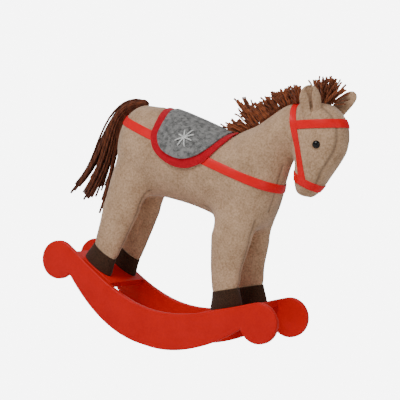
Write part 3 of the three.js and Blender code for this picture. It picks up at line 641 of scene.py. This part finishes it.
# ---- Ears --------------------------------------------------------------------------------
# Each ear is a rounded leaf of two layers of velour, folded lengthwise at its foot so that it
# cups, and sewn in beside the poll. The fold of each opens outwards.
# foot along and up in mm, then lean forward, splay and turn of the fold in radians
ear_lean = {"right": (134, 228, -0.22, 0.36, -1.05), "left": (143, 232, 0.44, 0.30, 1.10)}
for side_name, side in sides.items():
    foot_x, foot_z, lean, splay, facing = ear_lean[side_name]
    ear = bmesh.new()
    bmesh.ops.create_grid(ear, x_segments=14, y_segments=16, size=1)
    for vertex in ear.verts:
        across, up = vertex.co.x, (vertex.co.y + 1) / 2
        tip = math.sqrt(max(0.0, 1 - max(0.0, (up - 0.5) / 0.5) ** 2.4))
        half_width = 0.0112 * (0.66 + 0.85 * up - 0.55 * up * up) * tip
        bend = across * (3.0 - 0.9 * max(0.0, (up - 0.7) / 0.3) ** 1.5)
        vertex.co = Vector((0.0036 * (1 - 0.45 * up) * (1 - math.cos(bend)) * (0.35 + 0.65 * tip),
                            half_width * math.sin(bend), 0.0405 * up - 0.004))
        vertex.co.x -= 0.003 * math.sin(math.pi * up)
    bmesh.ops.remove_doubles(ear, verts=ear.verts, dist=0.00025)
    bmesh.ops.recalc_face_normals(ear, faces=ear.faces)
    place = (Matrix.Translation(at(foot_x, foot_z - 4, side * 14.4)) @ Matrix.Rotation(lean, 4, "Y")
             @ Matrix.Rotation(-side * splay, 4, "X") @ Matrix.Rotation(facing, 4, "Z"))
    bmesh.ops.transform(ear, matrix=place, verts=ear.verts)
    leaf = finished(f"ear_{side_name}", ear, velour, replaces=[f"ear_{side_name}"],
                    smooth_angle=0)
    layers = leaf.modifiers.new("layers", "SOLIDIFY")
    layers.thickness = 0.0026
    layers.offset = 0
    rounded = leaf.modifiers.new("rounded", "SUBSURF")
    rounded.levels = 2
    rounded.render_levels = 2

# ---- Ribbons -----------------------------------------------------------------------------
# Red satin ribbon: one band round the body from the rump to the chest, and a halter of crown,
# brow and nose bands. They lie flat on the velour and are caught down with a few stitches.
ribbon_thickness = 0.0006
ribbon_lift = 0.0003


def satin_material():
    material, nodes, links, shader, grain = new_finish("red_satin", 0.34, 30, 1500, (0.3, 1, 1))
    red = colour_range(nodes, links, grain.outputs["Broad"], (0.90, 0.002, 0.006), (1.0, 0.006, 0.018))
    links.new(red, shader.inputs["Base Color"])
    shader.inputs["Specular IOR Level"].default_value = 0.22
    bumped(nodes, links, shader, grain.outputs["Fine"], 0.25, 0.0002)
    return material


satin = satin_material()


def side_line(start, end):
    """A plane seen edge-on from the side, through two points: its start and its upward normal."""
    along = (end - start).normalized()
    return start, Vector((-along.z, 0, along.x))


def cut_from_skin(planes):
    """A strip of the skin between planes (place, normal), each cutting away the side it points from."""
    band = skin_copy.copy()
    for place, normal in planes:
        bmesh.ops.bisect_plane(band, geom=band.verts[:] + band.edges[:] + band.faces[:], dist=1e-6,
                               plane_co=place, plane_no=normal, clear_inner=True)
    return band


def lifted(band, lift):
    band.normal_update()
    for vertex in band.verts:
        vertex.co += vertex.normal * lift


def ribbon(name, planes):
    band = cut_from_skin(planes)
    relaxed(band, [v for v in band.verts if not v.is_boundary], 1)
    lifted(band, ribbon_lift)
    piece = finished(name, band, satin, replaces=[name], smooth_angle=0)
    weave = piece.modifiers.new("weave", "SOLIDIFY")
    weave.thickness = ribbon_thickness
    weave.offset = 1
    weave.use_even_offset = True


def slab(line, width):
    """The two planes of a strip of a given width round a line."""
    place, normal = line
    return [(place - normal * width / 2, normal), (place + normal * width / 2, -normal)]


body_line = side_line(at(-97, 174.5), at(106, 140.5))
crown_line = side_line(at(106, 236), at(139, 157))
brow_line = side_line(at(118, 213), at(166, 225))
nose_line = side_line(at(130, 157.5), at(158, 150))
above_nose = (nose_line[0] + nose_line[1] * 0.004, nose_line[1])
before_crown = (crown_line[0] + crown_line[1] * 0.0036, crown_line[1])
clear_of_muzzle = (at(113, 0), Vector((-1, 0, 0)))
clear_of_chest = (at(118, 0), Vector((1, 0, 0)))
ribbon("body_ribbon", slab(body_line, 0.0096) + [clear_of_muzzle])
ribbon("crown_ribbon", slab(crown_line, 0.0076) + [above_nose])
ribbon("brow_ribbon", slab(brow_line, 0.0092) + [before_crown])
ribbon("nose_ribbon", slab(nose_line, 0.0086) + [clear_of_chest])

# ---- Saddle ------------------------------------------------------------------------------
# A red felt blanket lies over the back, and a smaller grey mottled felt seat over it. Both are
# cut to a rounded outline and caught down through the middle, and each is laid at a small even
# lift over what lies under it.


def felt_material(name, dark, light, deep):
    material, nodes, links, shader, grain = new_finish(name, 0.95, 210, 1000)
    streaks = colour_range(nodes, links, grain.outputs["Broad"], dark, light, 0.34, 0.64)
    fuzz = colour_range(nodes, links, grain.outputs["Fine"], dark, light, 0.3, 0.7)
    links.new(blended(nodes, links, 0.4, streaks, fuzz), shader.inputs["Base Color"])
    shader.inputs["Sheen Weight"].default_value = 0.25
    shader.inputs["Specular IOR Level"].default_value = 0.1
    under = bumped(nodes, links, shader, grain.outputs["Broad"], 0.3, deep)
    bumped(nodes, links, shader, grain.outputs["Fine"], 0.5, 0.0005, under)
    return material


red_felt = felt_material("red_felt", (0.46, 0.001, 0.010), (0.64, 0.003, 0.021), 0.0003)
grey_felt = felt_material("grey_felt", (0.040, 0.040, 0.040), (0.36, 0.355, 0.345), 0.0006)


def smooth_outline(points, count):
    """Points along a smooth curve through the given side-view points."""
    places = [Vector(point) for point in points]
    places = [2 * places[0] - places[1]] + places + [2 * places[-1] - places[-2]]
    made = []
    for a, b, c, d in zip(places, places[1:], places[2:], places[3:]):
        for step in range(count):
            t = step / count
            made.append(0.5 * ((2 * b) + (c - a) * t + (2 * a - 5 * b + 4 * c - d) * t * t
                               + (3 * b - a - 3 * c + d) * t ** 3))
    return made + [places[-2]]


def drape(points, lift, rows=18):
    """A felt cut to a side outline and laid over the back, as a grid of columns along the horse."""
    bm = bmesh.new()
    columns = []
    for x, z in smooth_outline(points, 5):
        axis = at(x, 132)
        low_turn, high_turn = 0.0, math.radians(118)
        for _ in range(22):
            middle = (low_turn + high_turn) / 2
            spot, normal = on_skin(axis, Vector((0, -math.sin(middle), math.cos(middle))))
            if (spot + normal * lift).z > at(x, z).z:
                low_turn = middle
            else:
                high_turn = middle
        column = []
        for row in range(-rows, rows + 1):
            angle = low_turn * row / rows
            spot, normal = on_skin(axis, Vector((0, math.sin(angle), math.cos(angle))))
            column.append(bm.verts.new(spot + normal * lift))
        columns.append(column)
    for before, after in zip(columns, columns[1:]):
        for row in range(len(before) - 1):
            bm.faces.new((before[row], after[row], after[row + 1], before[row + 1]))
    bmesh.ops.remove_doubles(bm, verts=bm.verts, dist=0.00005)
    relaxed(bm, [v for v in bm.verts if not v.is_boundary], 4)
    bmesh.ops.recalc_face_normals(bm, faces=bm.faces)
    bm.normal_update()
    top = max(bm.verts, key=lambda v: v.co.z)
    if top.normal.z < 0:
        bmesh.ops.reverse_faces(bm, faces=bm.faces)
    return bm


def felt_sheet(name, bm, material):
    """A draped felt with its thickness."""
    piece = finished(name, bm, material, replaces=[name], smooth_angle=0)
    felt = piece.modifiers.new("felt", "SOLIDIFY")
    felt.thickness = 0.0015
    felt.offset = 1
    edge = piece.modifiers.new("edge", "BEVEL")
    edge.width = 0.0003
    edge.segments = 2


backing_outline = [(-49.5, 197), (-48.5, 190), (-46.8, 181), (-44.5, 166), (-35, 151), (-16, 141), (5, 139.5),
                   (21, 146), (32, 156), (41, 175), (45.5, 190), (46.5, 199)]
seat_outline = [(-39.8, 199), (-39, 192), (-37, 182), (-35.5, 167), (-25, 154), (-8, 149), (6, 150.5),
                (20, 158), (30, 170), (36, 183), (39.5, 191), (40.5, 199)]
backing_sheet = drape(backing_outline, 0.0012)
felt_sheet("saddle_backing", backing_sheet, red_felt)
seat_sheet = drape(seat_outline, 0.0030)
seat_surface = BVHTree.FromBMesh(seat_sheet)
felt_sheet("saddle_top", seat_sheet, grey_felt)

# ---- Yarn strands ------------------------------------------------------------------------
# The star is stitched in white embroidery thread. Mane, forelock and tail are cut lengths of
# reddish brown knitting yarn, two plies twisted together, each strand about 2 mm thick.
rng = random.Random(11)


def strand(bm, path, radius, tone, sides=6, taper=1.0):
    """Adds one strand along a path, with its tone and the place of each point in its twist."""
    lay, shade = bm.verts.layers.float_vector["lay"], bm.verts.layers.float["tone"]
    travelled, rings = 0.0, []
    for step, spot in enumerate(path):
        ahead = path[min(step + 1, len(path) - 1)] - path[max(step - 1, 0)]
        travelled += (spot - path[max(step - 1, 0)]).length
        thick = radius * (1 if 0 < step < len(path) - 1 else taper)
        place = Matrix.Translation(spot) @ ahead.to_track_quat("Z", "Y").to_matrix().to_4x4()
        ring = bmesh.ops.create_circle(bm, cap_ends=step in (0, len(path) - 1), segments=sides, radius=thick,
                                       matrix=place)["verts"]
        for index, vertex in enumerate(ring):
            angle = 2 * math.pi * index / sides
            vertex[lay] = (travelled, math.cos(angle), math.sin(angle))
            vertex[shade] = tone
        rings.append(ring)
    for lower, upper in zip(rings, rings[1:]):
        for index in range(sides):
            after = (index + 1) % sides
            bm.faces.new((lower[index], lower[after], upper[after], upper[index]))


def new_yarn():
    """An empty mesh that keeps each strand's tone and the lay of its twist."""
    bm = bmesh.new()
    bm.verts.layers.float_vector.new("lay")
    bm.verts.layers.float.new("tone")
    return bm


def twist_group():
    """The height of twisted plies, from the place of a point along and round its strand."""
    tree = bpy.data.node_groups.new("twisted_plies", "ShaderNodeTree")
    socket = tree.interface.new_socket
    socket("Turns", in_out="INPUT", socket_type="NodeSocketFloat")
    socket("Plies", in_out="OUTPUT", socket_type="NodeSocketFloat")
    nodes, links = tree.nodes, tree.links
    given, out = nodes.new("NodeGroupInput"), nodes.new("NodeGroupOutput")
    lay, parts = nodes.new("ShaderNodeAttribute"), nodes.new("ShaderNodeSeparateXYZ")
    lay.attribute_name = "lay"
    links.new(lay.outputs["Vector"], parts.inputs[0])
    steps = {}
    for name, operation, value in (
            ("around", "ARCTAN2", 0), ("plies", "MULTIPLY", 2), ("along", "MULTIPLY", 0),
            ("turned", "ADD", 0), ("wave", "SINE", 0), ("rise", "MULTIPLY_ADD", 0.5)):
        steps[name] = nodes.new("ShaderNodeMath")
        steps[name].operation = operation
        steps[name].inputs[1].default_value = value
    steps["rise"].inputs[2].default_value = 0.5
    links.new(parts.outputs["Z"], steps["around"].inputs[0])
    links.new(parts.outputs["Y"], steps["around"].inputs[1])
    links.new(steps["around"].outputs[0], steps["plies"].inputs[0])
    links.new(parts.outputs["X"], steps["along"].inputs[0])
    links.new(given.outputs["Turns"], steps["along"].inputs[1])
    links.new(steps["plies"].outputs[0], steps["turned"].inputs[0])
    links.new(steps["along"].outputs[0], steps["turned"].inputs[1])
    links.new(steps["turned"].outputs[0], steps["wave"].inputs[0])
    links.new(steps["wave"].outputs[0], steps["rise"].inputs[0])
    links.new(steps["rise"].outputs[0], out.inputs["Plies"])
    return tree


twisted_plies = twist_group()


def yarn_material(name, dark, light, turns, sheen):
    material, nodes, links, shader, grain = new_finish(name, 0.8, 260, 1500)
    plies = nodes.new("ShaderNodeGroup")
    plies.node_tree = twisted_plies
    plies.inputs["Turns"].default_value = turns
    tone = nodes.new("ShaderNodeAttribute")
    tone.attribute_name = "tone"
    body_colour = colour_range(nodes, links, tone.outputs["Fac"], dark, light, 0, 1)
    # Painted shade and highlight: the colour darkens into the valleys between the plies and lightens to the
    # yarn's lightest tone on their crests, following the twist.
    valley_shade = tuple(c * 0.35 for c in dark)
    ply_shade = colour_range(nodes, links, plies.outputs["Plies"], valley_shade, light, 0.0, 0.75)
    links.new(blended(nodes, links, 0.45, body_colour, ply_shade), shader.inputs["Base Color"])
    shader.inputs["Sheen Weight"].default_value = sheen
    shader.inputs["Specular IOR Level"].default_value = 0.25
    under = bumped(nodes, links, shader, plies.outputs["Plies"], 0.5, 0.0005)
    bumped(nodes, links, shader, grain.outputs["Fine"], 0.4, 0.0003, under)
    return material


mane_brown = yarn_material("mane_yarn", (0.085, 0.018, 0.006), (0.400, 0.105, 0.034), 900, 0.15)
tail_brown = yarn_material("tail_yarn", (0.055, 0.014, 0.006), (0.215, 0.055, 0.020), 550, 0.12)
white_thread = yarn_material("white_thread", (0.80, 0.80, 0.78), (0.95, 0.95, 0.93), 4000, 0.1)


def yarn_piece(name, bm, material, body="horse"):
    bmesh.ops.recalc_face_normals(bm, faces=bm.faces)
    finished(name, bm, material, body=body, replaces=[name], smooth_angle=0)


# ---- Embroidered stars -------------------------------------------------------------------
# One star on each side of the seat, of eight long straight stitches that meet in the middle.
star_x, star_z = -2.6, 171.5
star_arms = [(64, 10.6), (30, 10.0), (-8, 9.8), (-62, 10.4), (-112, 10.2), (-152, 10.6), (166, 8.4),
             (118, 9.0)]
for side_name, side in sides.items():
    star = new_yarn()
    for angle, length in star_arms:
        path = []
        for step in range(7):
            reach = 0.4 + (length - 0.4) * step / 6
            along, up = reach * math.cos(math.radians(angle)), reach * math.sin(math.radians(angle))
            spot = at(star_x + along, star_z + up, side * 90)
            hit, normal = seat_surface.ray_cast(spot, Vector((0, -side, 0)), 0.2)[:2]
            normal = normal if normal.y * side > 0 else -normal
            height = 0.0021 + 0.0004 * math.sin(math.pi * step / 6) - (0.0006 if step == 6 else 0)
            path.append(hit + normal * height)
        strand(star, path, 0.00092, rng.random(), sides=6, taper=0.8)
    yarn_piece(f"star_{side_name}", star, white_thread)

# ---- Mane --------------------------------------------------------------------------------
# Cut yarn sewn across a narrow tape along the crest of the neck, from the saddle to the poll.
# The ends stand up in loose tufts that lean back, and the rearmost lock lies over the saddle.
tape_half = 0.003
tape = cut_from_skin([
    (Vector((0, -tape_half, 0)), Vector((0, 1, 0))), (Vector((0, tape_half, 0)), Vector((0, -1, 0))),
    side_line(at(42, 175), at(112, 224)), (at(47, 0), Vector((1, 0, 0))), (at(104, 0), Vector((-1, 0, 0)))])
lifted(tape, 0.0003)
mane_tape = finished("mane_tape", tape, mane_brown, replaces=["mane_tape"], smooth_angle=0)
woven = mane_tape.modifiers.new("woven", "SOLIDIFY")
woven.thickness = 0.0009
woven.offset = 1


def lock(bm, root, direction, length, curl, radius, steps=7):
    """One strand that leaves its root in a direction and curls over by an amount and a wave."""
    direction = direction.normalized()
    phase = rng.uniform(0, 6.28)
    across = direction.cross(Vector((0, 1, 0))).normalized()
    path = []
    for step in range(steps):
        t = step / (steps - 1)
        spot = root + direction * length * t + curl * length * t * t
        wobble = 0.0007 * math.sin(phase + 9 * t) * t
        path.append(spot + across * wobble + Vector((0, 0.0007 * math.cos(phase + 7 * t) * t, 0)))
    strand(bm, path, radius, rng.random(), sides=5)


# each tuft: place along the crest, lean back from upright in degrees, length in mm
mane_tufts = [(47, 81, 24), (50, 72, 21), (54, 56, 16), (58, 40, 26), (61, 31, 36), (64, 46, 24),
              (68, 42, 23), (72, 46, 23), (76, 44, 20), (80, 45, 21), (84, 40, 21), (88, 36, 21),
              (92, 34, 20), (96, 30, 20), (100, 25, 20), (103, 18, 21), (106, 8, 22)]
mane = new_yarn()
for place_x, lean, length in mane_tufts:
    for _ in range(12):
        x = place_x + rng.uniform(-2.2, 2.2)
        y = rng.uniform(-3.2, 3.2)
        spot, normal = on_skin(at(x, 300, y), Vector((0, 0, -1)), 0.4)
        back = math.radians(lean + rng.gauss(0, 6))
        out = rng.gauss(0, 0.16) + y * 0.07
        direction = Vector((-math.sin(back), out, math.cos(back)))
        curl = Vector((-0.12 + rng.gauss(0, 0.06), rng.gauss(0, 0.06), -0.06 + rng.gauss(0, 0.08)))
        lock(mane, spot + normal * 0.0004, direction, length * rng.uniform(0.82, 1.02) / 1000, curl,
             rng.uniform(0.0009, 0.0012))
yarn_piece("mane_yarn", mane, mane_brown)

# ---- Forelock ----------------------------------------------------------------------------
# A tuft of the same yarn, sewn in at the poll between the ears, that fans out upwards.
forelock = new_yarn()
for _ in range(92):
    x, y = 137 + rng.uniform(-4.5, 4.5), rng.uniform(-6, 6)
    spot, normal = on_skin(at(x, 300, y), Vector((0, 0, -1)), 0.4)
    forward = math.radians(rng.uniform(-34, 40) + (x - 137) * 2.5)
    direction = Vector((math.sin(forward), y * 0.055 + rng.gauss(0, 0.12), math.cos(forward)))
    curl = Vector((rng.gauss(0, 0.07), rng.gauss(0, 0.06), -0.05))
    length = rng.uniform(24, 33) * (1 - 0.18 * abs(forward))
    lock(forelock, spot - normal * 0.001, direction, length / 1000, curl, rng.uniform(0.0009, 0.0012))
for lean, length in ((58, 27), (72, 24), (84, 21), (50, 24)):
    spot, normal = on_skin(at(141, 300, rng.uniform(-3, 3)), Vector((0, 0, -1)), 0.4)
    forward = math.radians(lean)
    direction = Vector((math.sin(forward), rng.gauss(0, 0.1), math.cos(forward)))
    lock(forelock, spot, direction, length / 1000, Vector((0, 0, 0.05)), 0.0006)
yarn_piece("forelock_yarn", forelock, mane_brown)

# ---- Tail --------------------------------------------------------------------------------
# A hank of long yarn whipped together with thread at its root, where it is sewn to the top of
# the rump. It arches up and back, then falls close behind the hind legs and splits into locks.
binding = new_yarn()
root_start, root_end = at(-80.5, 196.6), at(-88.6, 197.0)
whip_axis = (root_end - root_start).normalized()
turn_side = Vector((0, 1, 0))
turn_up = whip_axis.cross(turn_side).normalized()
whip_turns, whip_steps = 7, 96
whip_path = []
for step in range(whip_steps + 1):
    t = step / whip_steps
    radius = 0.0022 + 0.0017 * math.sin(math.pi * min(1.0, 0.2 + t * 0.5))
    angle = 2 * math.pi * whip_turns * t
    centre = root_start.lerp(root_end, 0.25 + 0.75 * t)
    whip_path.append(centre + turn_side * radius * math.cos(angle) + turn_up * radius * math.sin(angle))
strand(binding, whip_path, 0.0005, 0.4, sides=5)
yarn_piece("tail_binding", binding, tail_brown, body="tail_root")

# upper and lower side-view edges of the hank in mm, and its half width, from root to ends
tail_shape = [(-81, 198.5, -81, 194, 2.6), (-89, 200.5, -90, 192.5, 4.2), (-98, 200, -98.5, 187.5, 6.5),
              (-113, 193, -107, 177, 9.5), (-126, 175, -109.5, 162, 11.5), (-135, 148, -109, 139, 12.5),
              (-143, 119, -109, 112, 13), (-154, 94, -112, 84, 14), (-173, 68, -117, 52, 17)]


def hank(t, a, b):
    """A point of the hank: t from root to end, a from its upper to its lower edge, b across."""
    spot = t * (len(tail_shape) - 1)
    index = min(int(spot), len(tail_shape) - 2)
    mix = spot - index
    x1, z1, x2, z2, half = (p + (q - p) * mix for p, q in zip(tail_shape[index], tail_shape[index + 1]))
    return at(x1 + (x2 - x1) * (a + 1) / 2, z1 + (z2 - z1) * (a + 1) / 2, b * half)


tail = new_yarn()
tail_locks = [(rng.uniform(-0.85, 0.85), rng.uniform(-0.8, 0.8), rng.uniform(0.86, 1.0), rng.uniform(0, 6.28))
              for _ in range(11)]
for _ in range(56):
    angle, spread = rng.uniform(0, 6.28), math.sqrt(rng.random())
    a, b = spread * math.cos(angle), spread * math.sin(angle)
    lock_a, lock_b, lock_end, lock_phase = min(tail_locks, key=lambda k: (k[0] - a) ** 2 + (k[1] - b) ** 2)
    finish_at = lock_end * rng.uniform(0.93, 1.0)
    phase = rng.uniform(0, 6.28)
    path = []
    for step in range(19):
        t = step / 18 * finish_at
        gather = max(0.0, (t - 0.45) / 0.55) ** 1.3 * 0.5
        spot = hank(t, a + (lock_a - a) * gather, b + (lock_b - b) * gather)
        sway = 0.0016 * t * t
        wave = Vector((math.sin(lock_phase + 8 * t), math.cos(lock_phase + 7 * t), 0)) * sway
        own = Vector((math.sin(phase + 17 * t), math.cos(phase + 13 * t), 0)) * 0.0006 * t
        path.append(spot + wave + own)
    smoothed = [path[0]] + [(p + 2 * q + r) / 4 for p, q, r in zip(path, path[1:], path[2:])] + [path[-1]]
    strand(tail, smoothed, rng.uniform(0.0011, 0.0014), rng.random(), sides=6)
yarn_piece("tail_yarn", tail, tail_brown, body="tail")
